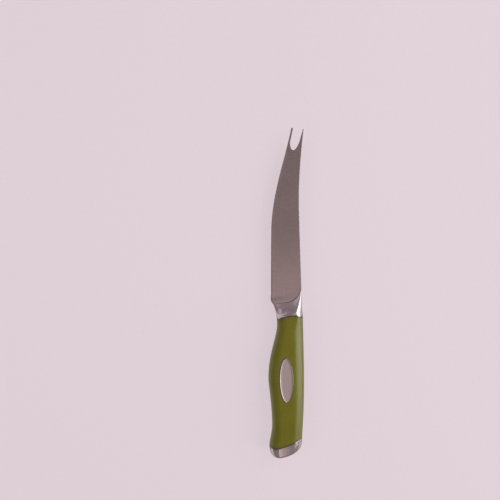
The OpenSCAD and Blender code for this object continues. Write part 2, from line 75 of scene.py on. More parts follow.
HEEL_Y = GRIP_LEN + BOLSTER_LEN
TIP_Y = HEEL_Y + BLADE_LEN
NOSE_Y = HEEL_Y + NOSE_REACH
HEEL_LINE_Y = HEEL_Y - HEEL_BACK
NECK_Y = GRIP_LEN - NECK_BACK
SEAM_BELLY_Y = GRIP_LEN - NECK_SLANT
UPPER_TIP_Y = TIP_Y - PRONG_STEP
LOWER_TIP_X = FORK_LIFT - FORK_SPAN
FULL_GRIP_Y = GRIP_LEN - NECK_TAPER
HEEL_T, NOSE_T = STOCK_T + 2 * LIP_T, STOCK_T + 2 * NOSE_LIP_T
BROW_T = (NECK_T + NOSE_T) / 2


# General functions
def lerp(a, b, t):
    return a + (b - a) * t


def smooth(t):
    c = np.clip(t, 0, 1)
    return c * c * (3 - 2 * c)


def cubic(p, t):
    """Cubic Bezier curve through four numbers, points or arrays, at the shares t."""
    u = 1 - t
    return p[0] * u**3 + p[1] * 3 * t * u * u + p[2] * 3 * t * t * u + p[3] * t**3


def bend(y, ys, xs):
    """x of a plan curve with control points (xs, ys) at each y, found by halving."""
    y = np.clip(y, min(ys), max(ys))
    low, high = np.zeros_like(y), np.ones_like(y)
    for _ in range(40):
        mid = (low + high) / 2
        on = (cubic(ys, mid) < y) == (ys[3] > ys[0])
        low, high = np.where(on, mid, low), np.where(on, high, mid)
    return cubic(xs, (low + high) / 2)


def pair(x, y):
    """Points of the plan from an array of x and an array of y."""
    return np.stack(np.broadcast_arrays(np.asarray(x, float), np.asarray(y, float)), -1)


# Plan curves
def spine_x(y):
    """A line that dips slightly, then one cubic sweep up to the fork."""
    y = np.asarray(y, float)
    start = TIP_Y - SWEEP_LEN
    sweep = bend(y, [start, start + 0.33 * SWEEP_LEN, start + 0.62 * SWEEP_LEN, UPPER_TIP_Y],
                 [-SPINE_DIP, -SPINE_DIP, 0.33 * FORK_LIFT - SPINE_DIP / 2, FORK_LIFT])
    return np.where(y < start, -SPINE_DIP * np.clip((y - HEEL_Y) / (start - HEEL_Y), 0, 1), sweep)


def edge_x(y):
    """A round heel corner, a straight climb and one cubic belly up to the fork."""
    y = np.asarray(y, float)
    belly_y, belly_x0 = HEEL_Y + STRAIGHT_EDGE, EDGE_CLIMB - BLADE_W
    left = TIP_Y - belly_y
    corner = bend(y, [HEEL_LINE_Y, HEEL_LINE_Y + 0.27 * HEEL_BACK, HEEL_Y - 0.4 * HEEL_BACK, HEEL_Y],
                  [HEEL_IN - BLADE_W, HEEL_IN / 3 - BLADE_W, -BLADE_W, -BLADE_W])
    straight = lerp(-BLADE_W, belly_x0, (y - HEEL_Y) / STRAIGHT_EDGE)
    belly = bend(y, [belly_y, belly_y + 0.4 * left, TIP_Y - 0.25 * left, TIP_Y],
                 [belly_x0, belly_x0 + 0.4 * left * EDGE_CLIMB / STRAIGHT_EDGE,
                  LOWER_TIP_X - 0.05 * left, LOWER_TIP_X])
    return np.where(y < HEEL_Y, corner, np.where(y < belly_y, straight, belly))


def back_x(y):
    """A back that falls by a parabola towards the butt and eases into the spine."""
    y = np.asarray(y, float)
    fall = BACK_RISE - BACK_DROP * (np.maximum(0, DROP_LEN - y) / DROP_LEN) ** 2
    return np.where(y > GRIP_LEN, BACK_RISE * (1 - smooth((y - GRIP_LEN) / RISE_LEN)), fall)


def belly_x(y):
    """Four cubics in turn: heel to neck, neck to swell, swell to waist, waist to flare."""
    y = np.asarray(y, float)

    def part(y0, y1, x0, x1, x2, x3, t1, t2):
        return bend(y, [y0, lerp(y0, y1, t1), lerp(y0, y1, t2), y1], [x0, x1, x2, x3])
    heel_x = HEEL_IN - BLADE_W
    scoop_x = lerp(heel_x, -NECK_DEPTH, 0.46)
    front = part(HEEL_LINE_Y, NECK_Y, heel_x, scoop_x, -NECK_DEPTH, -NECK_DEPTH, 0.22, 0.5)
    swell = part(NECK_Y, SWELL_Y, -NECK_DEPTH, -NECK_DEPTH, -SWELL_DEPTH, -SWELL_DEPTH, 0.22, 0.55)
    waist = part(SWELL_Y, WAIST_Y, -SWELL_DEPTH, -SWELL_DEPTH, -WAIST_DEPTH, -WAIST_DEPTH, 0.1, 0.5)
    flare = part(WAIST_Y, FLARE_Y, -WAIST_DEPTH, -WAIST_DEPTH, -BUTT_DEPTH, -BUTT_DEPTH, 0.44, 0.78)
    return np.where(y > NECK_Y, front, np.where(y > SWELL_Y, swell, np.where(y > WAIST_Y, waist, flare)))


# Rungs and seams
def rung(belly, back, off_belly, off_back):
    """Curves across the plan from belly to back, as (row, 4 control points, xy)."""
    return np.stack([belly, lerp(belly, back, 1 / 3) + off_belly,
                     lerp(belly, back, 2 / 3) + off_back, back], -2)


def seam_offset(seam, i):
    """How far control point i of a seam lies off the straight line between the seam's ends."""
    return seam[i] - lerp(seam[0], seam[3], i / 3)


NECK_SEAM = rung(pair(belly_x(SEAM_BELLY_Y), SEAM_BELLY_Y), pair(back_x(GRIP_LEN), GRIP_LEN),
                 np.array([0, NECK_BOW * 4 / 3]), np.array([0, NECK_BOW * 4 / 3]))
CAP_SEAM = rung(pair(belly_x(CAP_BELLY_LEN), CAP_BELLY_LEN), pair(back_x(CAP_BACK_LEN), CAP_BACK_LEN),
                np.array([0, -CAP_BOW]), np.array([0, -CAP_BACK_BOW]))
HEEL_SEAM = np.array([[HEEL_IN - BLADE_W, HEEL_LINE_Y], [-0.38 * BLADE_W, HEEL_LINE_Y + 0.2 * HEEL_BACK],
                      [-NOSE_W, HEEL_LINE_Y + 0.08 * HEEL_BACK], [float(back_x(NOSE_Y)), NOSE_Y]])
BUTT_BELLY = np.array([-BUTT_DEPTH + BELLY_CORNER, BUTT_LIFT])
BUTT_BACK = np.array([float(back_x(CAP_BACK_LEN)) - BACK_CORNER, BUTT_LIFT + BUTT_SLANT])
BUTT_RUNG = rung(BUTT_BELLY, BUTT_BACK, np.array([-0.8 * BUTT_BOW, -BUTT_BOW]), np.array([0, -BUTT_BOW]))
CAP_BELLY_PATH = [CAP_SEAM[0], np.array([-BUTT_DEPTH - 0.1, CAP_BELLY_LEN / 2]),
                  np.array([-BUTT_DEPTH + 0.25 * BELLY_CORNER, 1.6 * BUTT_LIFT]), BUTT_BELLY]
CAP_BACK_PATH = [CAP_SEAM[3], CAP_SEAM[3] - np.array([0.3, 0.37 * (CAP_BACK_LEN - BUTT_BACK[1])]),
                 BUTT_BACK + np.array([0.9 * BACK_CORNER, 0.9 * BACK_CORNER]), BUTT_BACK]

# The middle of the knife's box in the plan lies over the origin
STEPS = np.linspace(0, 1, 41)
BUTT_MIN_Y = min(cubic(BUTT_RUNG[:, 1], STEPS))
LOWEST_X = min(cubic([p[0] for p in CAP_BELLY_PATH], STEPS))
SHIFT = np.array([-(LOWEST_X + FORK_LIFT) / 2, -(BUTT_MIN_Y + TIP_Y) / 2, GRIP_T / 2])


def blended(seam_a, seam_b, q, belly, back):
    """Rungs between two seams: ends on belly and back, bows mixed by q."""
    q = q[:, None]
    return rung(belly, back, lerp(seam_offset(seam_a, 1), seam_offset(seam_b, 1), q),
                lerp(seam_offset(seam_a, 2), seam_offset(seam_b, 2), q))


def bolster_rungs(q):
    """Rungs from the neck seam at 0 to the heel seam at 1."""
    yb, ya = lerp(SEAM_BELLY_Y, HEEL_LINE_Y, q), lerp(GRIP_LEN, NOSE_Y, q)
    return blended(NECK_SEAM, HEEL_SEAM, q, pair(belly_x(yb), yb), pair(back_x(ya), ya))


def handle_rungs(q):
    """Rungs from the cap seam at 0 to the neck seam at 1; each seam's bow fades by a fourth power."""
    yb, ya = lerp(CAP_BELLY_LEN, SEAM_BELLY_Y, q), lerp(CAP_BACK_LEN, GRIP_LEN, q)
    front, rear = (q**4)[:, None], ((1 - q) ** 4)[:, None]
    return rung(pair(belly_x(yb), yb), pair(back_x(ya), ya),
                seam_offset(NECK_SEAM, 1) * front + seam_offset(CAP_SEAM, 1) * rear,
                seam_offset(NECK_SEAM, 2) * front + seam_offset(CAP_SEAM, 2) * rear)


def cap_rungs(q):
    """Rungs from the cap seam at 0 to the butt at 1, between cubic paths of belly and back."""
    t = q[:, None]
    return blended(CAP_SEAM, BUTT_RUNG, q, cubic(CAP_BELLY_PATH, t), cubic(CAP_BACK_PATH, t))


def across(rungs, share):
    """Points at the shares of each rung: (row, column, xy)."""
    return cubic([rungs[:, i, None, :] for i in range(4)], share[..., None])


# Meshes
def make_mesh(name, points, faces, attributes=None):
    """Writes points (n, 3) in knife millimetres and faces, without repeated corners, as an object."""
    mesh = bpy.data.meshes.new(name)
    clean = []
    for face in faces:
        kept = [v for i, v in enumerate(face) if v != face[i - 1]]
        if len(kept) > 2:
            clean.append(kept)
    mesh.from_pydata(((points + SHIFT) / 1000).tolist(), [], clean)
    for key, values in (attributes or {}).items():
        layer = mesh.attributes.new(key, "FLOAT", "POINT")
        layer.data.foreach_set("value", np.ascontiguousarray(values, "f4").ravel())
    mesh.update()
    piece = bpy.data.objects.new(name, mesh)
    bpy.context.scene.collection.objects.link(piece)
    return piece


def soften(piece, angle=35):
    """Smooth shading, sharp where faces meet at more than the angle."""
    piece.data.shade_smooth()
    piece.data.set_sharp_from_angle(angle=math.radians(angle))


def rise(u):
    """Height of a quarter circle of radius 1 at a depth u from its foot; 1 beyond it."""
    return np.sqrt(1 - np.clip(1 - u, 0, 1) ** 2)


def grip_shares(width, round_b, round_a, quarter=14, flat=8):
    """Shares of each rung at which the section is sampled, close together in both roundings."""
    v = np.linspace(0, math.pi / 2, quarter + 1)
    side_b, side_a = np.reshape(round_b / width, (-1, 1)), np.reshape(round_a / width, (-1, 1))
    middle = lerp(side_b, 1 - side_a, np.linspace(0, 1, flat + 1)[1:-1])
    return np.hstack([side_b * (1 - np.cos(v)), middle, (1 - side_a * (1 - np.cos(v)))[:, ::-1]])


def grip_section(width, half, round_b, round_a):
    """Shares and heights of the half section along each rung: a quarter ellipse at each side, a flat
    between them and half the flat of the back. Arguments are arrays with one value for each rung."""
    share = grip_shares(width, round_b, round_a)
    width, half, round_b, round_a = (x[:, None] for x in (width, half, round_b, round_a))
    crest = half * BACK_FLAT / GRIP_T
    side = rise((1 - share) * width / round_a)
    return share, lerp(crest, half, side) * rise(share * width / round_b)


def edge_round(distance, radius):
    """How far a quarter-round edge has drawn in, at a distance from the end face."""
    left = np.clip(radius - distance, 0, radius)
    return radius - np.sqrt(np.maximum(radius**2 - left**2, 0))


def ringed(name, rungs, share, height, attributes):
    """Closed surface through one ring for each rung: the section above the middle plane, the same
    mirrored below it without the belly's point, which lies on it, and strips that close both ends."""
    rows, n = share.shape
    plan = across(rungs, share)
    top = np.concatenate([plan, height[..., None]], -1)
    low = top[:, ::-1][:, :-1] * [1, 1, -1]
    rings = np.concatenate([top, low], 1)
    m = rings.shape[1]
    index = np.arange(rows * m).reshape(rows, m)
    nxt = np.roll(index, -1, 1)
    sides = np.stack([index[:-1], nxt[:-1], nxt[1:], index[1:]], -1).reshape(-1, 4)
    under = (m - np.arange(n)) % m
    i = np.arange(n - 1)
    near = np.stack([under[i], under[i + 1], i + 1, i], -1)
    far = (rows - 1) * m + near[:, ::-1]
    values = {k: np.repeat(np.asarray(a, float)[:, None], m, 1) for k, a in attributes.items()}
    return make_mesh(name, rings.reshape(-1, 3), np.vstack([sides, near, far]).tolist(), values)


def drawn_in(share, height, length, amount):
    """The same section pulled inwards all round by an amount, for rounded end edges."""
    length, amount = length[:, None], amount[:, None]
    return lerp(amount / length, 1 - amount / length, share), np.maximum(height - amount, 0) * (height > 0)


def ends_near(length_total, fine, steps):
    """Shares from 0 to 1 with close rows within `fine` mm of both ends."""
    near = fine * (1 - np.cos(np.linspace(0, math.pi / 2, 6))) / length_total
    inner = np.linspace(fine / length_total, 1 - fine / length_total, steps)
    return np.concatenate([near[:-1], inner, 1 - near[:-1][::-1]])


def span(rungs):
    """Straight length of each rung, from belly to back."""
    return np.linalg.norm(rungs[:, 3] - rungs[:, 0], axis=-1)


def crowned(share, height, amount):
    """Faces that are not quite flat: they fall by an amount, as a parabola, towards both sides."""
    return height * (1 - 2 * amount / GRIP_T * (2 * share - 1) ** 2)


def make_bolster():
    """Rungs from neck seam to heel seam. The half thickness goes from a cubic scoop at the belly side
    to a slower cubic brow at the back, which is rounded by its depth across the knife."""
    t = ends_near(BOLSTER_RUN, EDGE_R, 60)
    q = cubic([0, 0.22, 0.3, 1], t)
    rungs = bolster_rungs(q)
    width = span(rungs)
    scoop = cubic([NECK_T, NECK_T, HEEL_T, HEEL_T], t) / 2
    brow = cubic([NECK_T, NECK_T, BROW_T, NOSE_T], q) / 2
    round_b, round_a = lerp(BELLY_ROUND, HEEL_ROUND, q), lerp(NECK_ROUND, NOSE_ROUND, q**2)
    share = grip_shares(width, round_b, lerp(NECK_ROUND, NOSE_RUN, q), quarter=20)
    plan = across(rungs, share)
    depth = lerp((1 - share) * width[:, None], np.maximum(back_x(plan[..., 1]) - plan[..., 0], 0),
                 np.minimum(4 * q, 1)[:, None])
    foot = lerp(NECK_T * BACK_FLAT / GRIP_T, STOCK_T, q) / 2
    top = lerp(scoop[:, None], brow[:, None], share)
    back_side, belly_side = rise(depth / round_a[:, None]), rise(share * (width / round_b)[:, None])
    height = lerp(foot[:, None], top, back_side) * belly_side
    from_neck = q * FROM_NECK
    draw = edge_round(from_neck, EDGE_R) + edge_round((1 - q) * FROM_HEEL, HEEL_EDGE_R)
    share, height = drawn_in(share, height, width, draw)
    height = crowned(share, height, CROWN * (1 - q)[:, None])
    return ringed("steel_bolster", rungs + np.array([0, SEAM_GAP / 2]), share, height,
                  {"seam": np.exp(-from_neck / SEAM_SHADE)})


def grip_half(y):
    """Half thickness of the handle: full up to the swell, then eased down to the neck."""
    return lerp(GRIP_T, NECK_T, smooth((y - FULL_GRIP_Y) / (GRIP_LEN - FULL_GRIP_Y))) / 2


def make_handle():
    """Rungs from cap seam to neck seam, full thickness up to the swell and slimmer at the neck."""
    q = ends_near(HANDLE_RUN, EDGE_R, 150)
    rungs = handle_rungs(q) + pair(np.zeros_like(q), lerp(SEAM_GAP / 2, -SEAM_GAP / 2, q))[:, None, :]
    back_y = rungs[:, 3, 1]
    round_a = lerp(BACK_ROUND, NECK_ROUND, smooth(1 - (GRIP_LEN - back_y) / NECK_RUN))
    width = span(rungs)
    share, height = grip_section(width, grip_half(back_y), BELLY_ROUND * np.ones_like(q), round_a)
    from_seam = np.minimum(q, 1 - q) * HANDLE_RUN
    share, height = drawn_in(share, height, width, edge_round(from_seam, EDGE_R))
    return ringed("green_handle", rungs, share, crowned(share, height, CROWN),
                  {"seam": np.exp(-from_seam / SEAM_SHADE)})


def make_cap():
    """Rungs from butt to cap seam; a quarter round swells the section from the flat of the butt."""
    cap_mid = cubic(CAP_SEAM, 0.5)[1] - cubic(BUTT_RUNG, 0.5)[1]
    butt_share = BUTT_ROUND / cap_mid
    v = np.linspace(0, math.pi / 2, 22)
    fine = EDGE_R * (1 - np.cos(np.linspace(0, math.pi / 2, 6))) / cap_mid
    middle = lerp(butt_share, 1 - fine[-1], np.linspace(0, 1, 14)[1:-1])
    t = np.concatenate([butt_share * (1 - np.cos(v)), middle, 1 - fine[::-1]])
    swell = np.concatenate([np.sin(v), np.ones(len(t) - len(v))])
    rungs = cap_rungs(1 - t)
    rungs[-1, :, 1] -= SEAM_GAP / 2
    width, half, ones = span(rungs), lerp(BUTT_FLAT, GRIP_T, swell) / 2, np.ones_like(t)
    share, height = grip_section(width, half, BELLY_ROUND * ones, BACK_ROUND * ones)
    from_seam = (1 - t) * cap_mid
    share, height = drawn_in(share, height, width, edge_round(from_seam, EDGE_R))
    return ringed("steel_end_cap", rungs, share, crowned(share, height, CROWN),
                  {"seam": np.exp(-from_seam / SEAM_SHADE)})


# Blade: how far its first row hides in the bolster, the width of its close columns, their numbers,
# and a lift that keeps a gullet's cylinder clear of the steel
HEEL_HIDDEN, STRIP_REACH, STRIP_COLS, GRIND_COLS, CLEAR = 0.3, 1.25, 7, 7, 9


def turned(points):
    """Plan points in the notch's own frame: along its lean, from the lower tip line."""
    c, s = math.cos(math.radians(NOTCH_LEAN)), math.sin(math.radians(NOTCH_LEAN))
    d = points - np.array([(FORK_LIFT + LOWER_TIP_X) / 2, TIP_Y])
    return d @ np.array([[c, s], [-s, c]])


def notch_half(y, step):
    """Half width of the notch: an ellipse at the bottom, straight walls, a mouth that opens."""
    half, bottom, mouth = NOTCH_W / 2, NOTCH_BOTTOM_LEN, FORK_SPAN / 2 - PRONG_TIP
    round_part = half * np.sqrt(np.clip(1 - ((bottom - NOTCH_DEPTH - y) / bottom) ** 2, 0, 1))
    opening = (mouth - half) * np.clip((y + POINT_LEN + step) / POINT_LEN, 0, 1)
    return np.where(y < bottom - NOTCH_DEPTH, round_part, half + opening)


def wall_share(rungs, side):
    """Share of each rung at which it meets the notch's wall, by halving; side is -1 or 1."""
    low, high = np.full(len(rungs), 0.1), np.full(len(rungs), 0.95)
    for _ in range(30):
        mid = (low + high) / 2
        p = turned(across(rungs, mid[:, None])[:, 0])
        beyond = p[:, 0] > side * notch_half(p[:, 1], PRONG_STEP if side > 0 else 0)
        low, high = np.where(beyond, low, mid), np.where(beyond, mid, high)
    return (low + high) / 2


def notch_row():
    """y at the edge of the row that passes through the lowest point of the notch, by repeated
    correction of the row's place."""
    lean = math.radians(NOTCH_LEAN)
    x = (FORK_LIFT + LOWER_TIP_X) / 2 - NOTCH_DEPTH * math.sin(lean)
    y = TIP_Y - NOTCH_DEPTH * math.cos(lean)
    row = y
    for _ in range(12):
        back_y = lerp(NOSE_Y, UPPER_TIP_Y, (row - HEEL_LINE_Y) / (TIP_Y - HEEL_LINE_Y))
        share = (x - edge_x(row)) / (spine_x(back_y) - edge_x(row))
        row += y - float(lerp(row, back_y, share))
    return row


def make_blade():
    """Rungs from heel to fork. Across each: a sharpened strip, a flat grind and a chamfered spine;
    gullets cut the upper side of the strip by tilted cylinders; the notch parts the columns."""
    first, last = HEEL_Y + PLAIN_HEEL, TIP_Y - PLAIN_TIP
    count = math.floor((last - first) / TOOTH_PITCH)
    start, reach = HEEL_LINE_Y - HEEL_HIDDEN, STRIP_REACH
    notch_bottom = notch_row()
    psi = np.linspace(0, math.pi / 2, 22)
    bottom_rows = notch_bottom + NOTCH_BOTTOM_LEN * 0.974 * (1 - np.cos(psi))
    prong_rows = np.linspace(bottom_rows[-1], TIP_Y, 16)[1:]
    teeth_from, teeth_to = first - TOOTH_PITCH / 2, first + (count + 0.5) * TOOTH_PITCH
    yb = np.concatenate([
        np.linspace(start, teeth_from, 30, endpoint=False),
        np.linspace(teeth_from, teeth_to, 9 * (count + 1), endpoint=False),
        np.linspace(teeth_to, notch_bottom, 12, endpoint=False), bottom_rows, prong_rows])
    q = (yb - HEEL_LINE_Y) / (TIP_Y - HEEL_LINE_Y)
    ya = lerp(NOSE_Y, UPPER_TIP_Y, q)
    w = (1 - smooth((yb - HEEL_LINE_Y) / (0.25 * BLADE_LEN)))[:, None]
    rungs = rung(pair(edge_x(yb), yb), pair(spine_x(ya), ya),
                 seam_offset(HEEL_SEAM, 1) * w, seam_offset(HEEL_SEAM, 2) * w)
    length = span(rungs)
    sheet = lerp(STOCK_T, FORK_T, np.clip(q, 0, 1)) / 2
    ground = smooth((yb - HEEL_LINE_Y - SHOULDER_RUN) / GRIND_RUN)
    strip = lerp(sheet, BEVEL_T / 2, ground)

    # Edge of the teeth: the gullet's cylinder meets the lower face of the sharpened strip
    along = (yb - first + TOOTH_PITCH / 2) % TOOTH_PITCH - TOOTH_PITCH / 2
    tilt = math.radians(GULLET_ANGLE)
    tan, cos = math.tan(tilt), math.cos(tilt)
    radius = (TOOTH_PITCH / 2) ** 2 / (2 * TOOTH_DEPTH * math.sin(tilt))
    toothed = (yb > teeth_from) & (yb < teeth_to) & (np.abs(along) < (TOOTH_PITCH - TOOTH_LAND) / 2)
    lift = np.where(toothed, radius - np.sqrt(radius**2 - along**2), CLEAR)
    slope = strip / BEVEL_W
    tooth = np.maximum(0, (TOOTH_DEPTH * tan - lift / cos) / (tan + slope))

    # Distances from the edge line: close columns over the strip, then the grind, then the chamfer
    near = lerp(tooth[:, None], reach, (np.linspace(0, 1, STRIP_COLS + 1) ** 1.2)[None])
    n_bottom = len(yb) - len(bottom_rows) - len(prong_rows)
    split = np.full(len(yb), wall_share(rungs[n_bottom:n_bottom + 1], -1)[0])
    left, right = split.copy(), split.copy()
    left[n_bottom + 1:] = wall_share(rungs[n_bottom + 1:], -1)
    right[n_bottom + 1:] = wall_share(rungs[n_bottom + 1:], 1)
    chamfer = 1 - SPINE_CHAMFER / length
    right = np.minimum(right, chamfer - 0.004)
    left = np.maximum(left, (reach + 0.01) / length)
    steps = np.linspace(0, 1, GRIND_COLS + 1)[None]
    share_left = np.hstack([near / length[:, None],
                            lerp((reach / length)[:, None], left[:, None], steps)[:, 1:]])
    share_right = np.hstack([lerp(right[:, None], chamfer[:, None], steps), np.ones((len(yb), 1))])
    share = np.hstack([share_left, share_right])

    d = share * length[:, None]
    flat = lerp(strip[:, None], sheet[:, None], (d - BEVEL_W) / (length[:, None] - BEVEL_W - SPINE_CHAMFER))
    upper = np.minimum(slope[:, None] * d, flat)
    upper[:, -1] = sheet - SPINE_CHAMFER
    lower = -upper
    cut = tan * (d - TOOTH_DEPTH) + lift[:, None] / cos
    upper = np.minimum(upper, cut)
    upper[:, 0] = lower[:, 0]
    plan = across(rungs, share)
    top = np.concatenate([plan, upper[..., None]], -1)
    low = np.concatenate([plan, lower[..., None]], -1)

    rows, cols = share.shape
    k = share_left.shape[1] - 1
    T = np.arange(rows * cols).reshape(rows, cols)
    B = T + rows * cols
    B[:, 0] = T[:, 0]
    T[:n_bottom + 1, k + 1] = T[:n_bottom + 1, k]
    B[:n_bottom + 1, k + 1] = B[:n_bottom + 1, k]
    j = np.array([c for c in range(cols - 1) if c != k])

    def quads(*corners):
        return np.stack(corners, -1).reshape(-1, 4)
    faces = np.vstack([
        quads(T[:-1, j], T[:-1, j + 1], T[1:, j + 1], T[1:, j]),
        quads(B[:-1, j], B[1:, j], B[1:, j + 1], B[:-1, j + 1]),
        quads(T[:-1, -1], B[:-1, -1], B[1:, -1], T[1:, -1]),
        quads(T[n_bottom:-1, k], B[n_bottom:-1, k], B[n_bottom + 1:, k], T[n_bottom + 1:, k]),
        quads(T[n_bottom:-1, k + 1], T[n_bottom + 1:, k + 1],
              B[n_bottom + 1:, k + 1], B[n_bottom:-1, k + 1]),
        quads(T[-1, j], T[-1, j + 1], B[-1, j + 1], B[-1, j]),
        quads(T[0, j], B[0, j], B[0, j + 1], T[0, j + 1])])
    points = np.concatenate([top.reshape(-1, 3), low.reshape(-1, 3)])
    used = np.unique(faces)
    renumber = np.zeros(len(points), int)
    renumber[used] = np.arange(len(used))
    edge = np.concatenate([np.exp(-d / 0.6).ravel()] * 2)[used]
    return make_mesh("forked_blade", points[used], renumber[faces].tolist(), {"edge": edge})


# Badge and its seat
def oval_rings(name, sizes, heights, centre, closed, attributes):
    """Rings of one oval outline at several widths (grow from the badge's own) and heights.
    The first ring is a fan around the centre; the last one is closed flat if asked."""
    v = np.linspace(0, 2 * math.pi, 144, endpoint=False)
    sizes, heights = np.asarray(sizes, float)[:, None], np.asarray(heights, float)[:, None]
    x = (BADGE_W / 2 + sizes) * np.cos(v) - BADGE_X
    y = (BADGE_LEN / 2 + sizes) * np.sin(v) + BADGE_Y
    rings = np.stack([x, y, heights + 0 * v], -1)
    rows, m = x.shape
    index = np.arange(rows * m).reshape(rows, m)
    nxt = np.roll(index, -1, 1)
    faces = np.stack([index[1:], nxt[1:], nxt[:-1], index[:-1]], -1).reshape(-1, 4).tolist()
    points = np.vstack([rings.reshape(-1, 3), [[-BADGE_X, BADGE_Y, centre]]])
    faces += [[rows * m, int(a), int(b)] for a, b in zip(index[0], nxt[0])]
    if closed:
        faces.append([int(a) for a in index[-1][::-1]])
    values = {k: np.append(np.repeat(np.asarray(a, float), m), a[0]) for k, a in attributes.items()}
    return make_mesh(name, points, faces, values)


def make_badge():
    """Oval plate: sunk flat field, a small slope, a flat rim with rounded edges, and the side wall."""
    top = GRIP_T / 2 + BADGE_PROUD
    field = top - BADGE_SINK
    turn = np.linspace(0, math.pi / 2, 6)
    r = BADGE_EDGE_R
    sizes = [-BADGE_W / 4, -BADGE_RIM - 0.16, -BADGE_RIM - 0.1, -BADGE_RIM, -BADGE_RIM + 0.07]
    heights = [field, field, field + 0.02, top - 0.02, top]
    rim = [0, 0, 0.3, 0.8, 1]
    sizes += list(-r + r * np.sin(turn)) + [0]
    heights += list(top - r + r * np.cos(turn)) + [top - BADGE_T]
    rim += [1] * (len(turn) + 1)
    return oval_rings("oval_badge", sizes, heights, field, True, {"rim": rim})


def cut_seat(handle):
    """Sinks the badge's seat into the handle, with a small chamfer around its mouth."""
    top = GRIP_T / 2
    floor = top + BADGE_PROUD - BADGE_T - SEAM_GAP
    sizes = [FIT_GAP + 0.5, FIT_GAP + 0.5, FIT_GAP, FIT_GAP]
    heights = [top + 0.6, top + 0.38, top - 0.12, floor]
    cutter = oval_rings("seat_cutter", sizes, heights, top + 0.6, True, {})
    mod = handle.modifiers.new("seat", "BOOLEAN")
    mod.operation, mod.solver, mod.object = "DIFFERENCE", "EXACT", cutter
    depsgraph = bpy.context.evaluated_depsgraph_get()
    result = bpy.data.meshes.new_from_object(handle.evaluated_get(depsgraph))
    handle.modifiers.clear()
    handle.data = result
    bpy.data.objects.remove(cutter)


# Materials
def new_group(name, inputs, outputs):
    """A shader node group with named sockets, and its input and output nodes."""
    group = bpy.data.node_groups.new(name, "ShaderNodeTree")
    for label, kind, value in inputs:
        socket = group.interface.new_socket(label, in_out="INPUT", socket_type=kind)
        if value is not None:
            socket.default_value = value
    for label, kind in outputs:
        group.interface.new_socket(label, in_out="OUTPUT", socket_type=kind)
    return group, group.nodes.new("NodeGroupInput"), group.nodes.new("NodeGroupOutput")


def add(tree, kind, links=None, **settings):
    """Adds a node, sets its properties or plain sockets, and links its inputs."""
    node = tree.nodes.new(kind)
    for key, value in settings.items():
        if hasattr(node, key):
            setattr(node, key, value)
        else:
            node.inputs[key.replace("_", " ")].default_value = value
    for key, source in (links or {}).items():
        tree.links.new(source, node.inputs[key])
    return node


def grain_group():
    """Fine parallel lines: noise on coordinates stretched by a vector, with its contrast raised."""
    group, into, out = new_group(
        "brushed_lines",
        [("Vector", "NodeSocketVector", None), ("Fineness", "NodeSocketVector", None),
         ("Contrast", "NodeSocketFloat", 1.0)],
        [("Lines", "NodeSocketFloat")])
    scaled = add(group, "ShaderNodeVectorMath", {0: into.outputs["Vector"], 1: into.outputs["Fineness"]},
                 operation="MULTIPLY")
    noise = add(group, "ShaderNodeTexNoise", {"Vector": scaled.outputs[0]},
                Scale=1.0, Detail=4.0, Roughness=0.62)
    centred = add(group, "ShaderNodeMath", {0: noise.outputs["Fac"]}, operation="SUBTRACT")
    centred.inputs[1].default_value = 0.5
    spread = add(group, "ShaderNodeMath", {0: centred.outputs[0], 1: into.outputs["Contrast"]},
                 operation="MULTIPLY")
    final = add(group, "ShaderNodeMath", {0: spread.outputs[0]}, operation="ADD", use_clamp=True)
    final.inputs[1].default_value = 0.5
    group.links.new(final.outputs[0], out.inputs["Lines"])
    return group


def patch_group():
    """Soft handling marks: two scales of noise multiplied, from 0 to 1."""
    group, into, out = new_group(
        "handling_marks",
        [("Vector", "NodeSocketVector", None), ("Size", "NodeSocketFloat", 60.0)],
        [("Marks", "NodeSocketFloat")])
    vector, size = into.outputs["Vector"], into.outputs["Size"]
    wide = add(group, "ShaderNodeTexNoise", {"Vector": vector, "Scale": size}, Detail=3.0, Roughness=0.5)
    finer = add(group, "ShaderNodeMath", {0: size}, operation="MULTIPLY")
    finer.inputs[1].default_value = 9.0
    small = add(group, "ShaderNodeTexNoise", {"Vector": vector, "Scale": finer.outputs[0]},
                Detail=2.0, Roughness=0.6)
    both = add(group, "ShaderNodeMath", {0: wide.outputs["Fac"], 1: small.outputs["Fac"]},
               operation="MULTIPLY")
    ramp = add(group, "ShaderNodeMapRange", {"Value": both.outputs[0]}, From_Min=0.16, From_Max=0.36)
    group.links.new(ramp.outputs[0], out.inputs["Marks"])
    return group


GRAIN, MARKS = grain_group(), patch_group()


def mixed(tree, factor, a, b):
    """Colour a, and colour b where factor is 1."""
    node = add(tree, "ShaderNodeMix", {0: factor}, data_type="RGBA")
    node.inputs[6].default_value = (*a, 1)
    node.inputs[7].default_value = (*b, 1)
    return node.outputs[2]


def ranged(tree, value, low, high):
    """A mask from 0 to 1, spread from low to high."""
    return add(tree, "ShaderNodeMapRange", {"Value": value}, To_Min=low, To_Max=high).outputs[0]


def new_material(name, **sockets):
    """A material with plain values on its shader, and Object coordinates."""
    material = bpy.data.materials.new(name)
    material.use_nodes = True
    tree = material.node_tree
    shader = tree.nodes["Principled BSDF"]
    for key, value in sockets.items():
        shader.inputs[key.replace("_", " ")].default_value = value
    coords = tree.nodes.new("ShaderNodeTexCoord").outputs["Object"]
    return material, tree, shader, coords


def placed(tree, group, coords, **values):
    """Places a node group on the coordinates with its own values, and gives its output."""
    node = tree.nodes.new("ShaderNodeGroup")
    node.node_tree = group
    tree.links.new(coords, node.inputs["Vector"])
    for key, value in values.items():
        node.inputs[key].default_value = value
    return node.outputs[0]


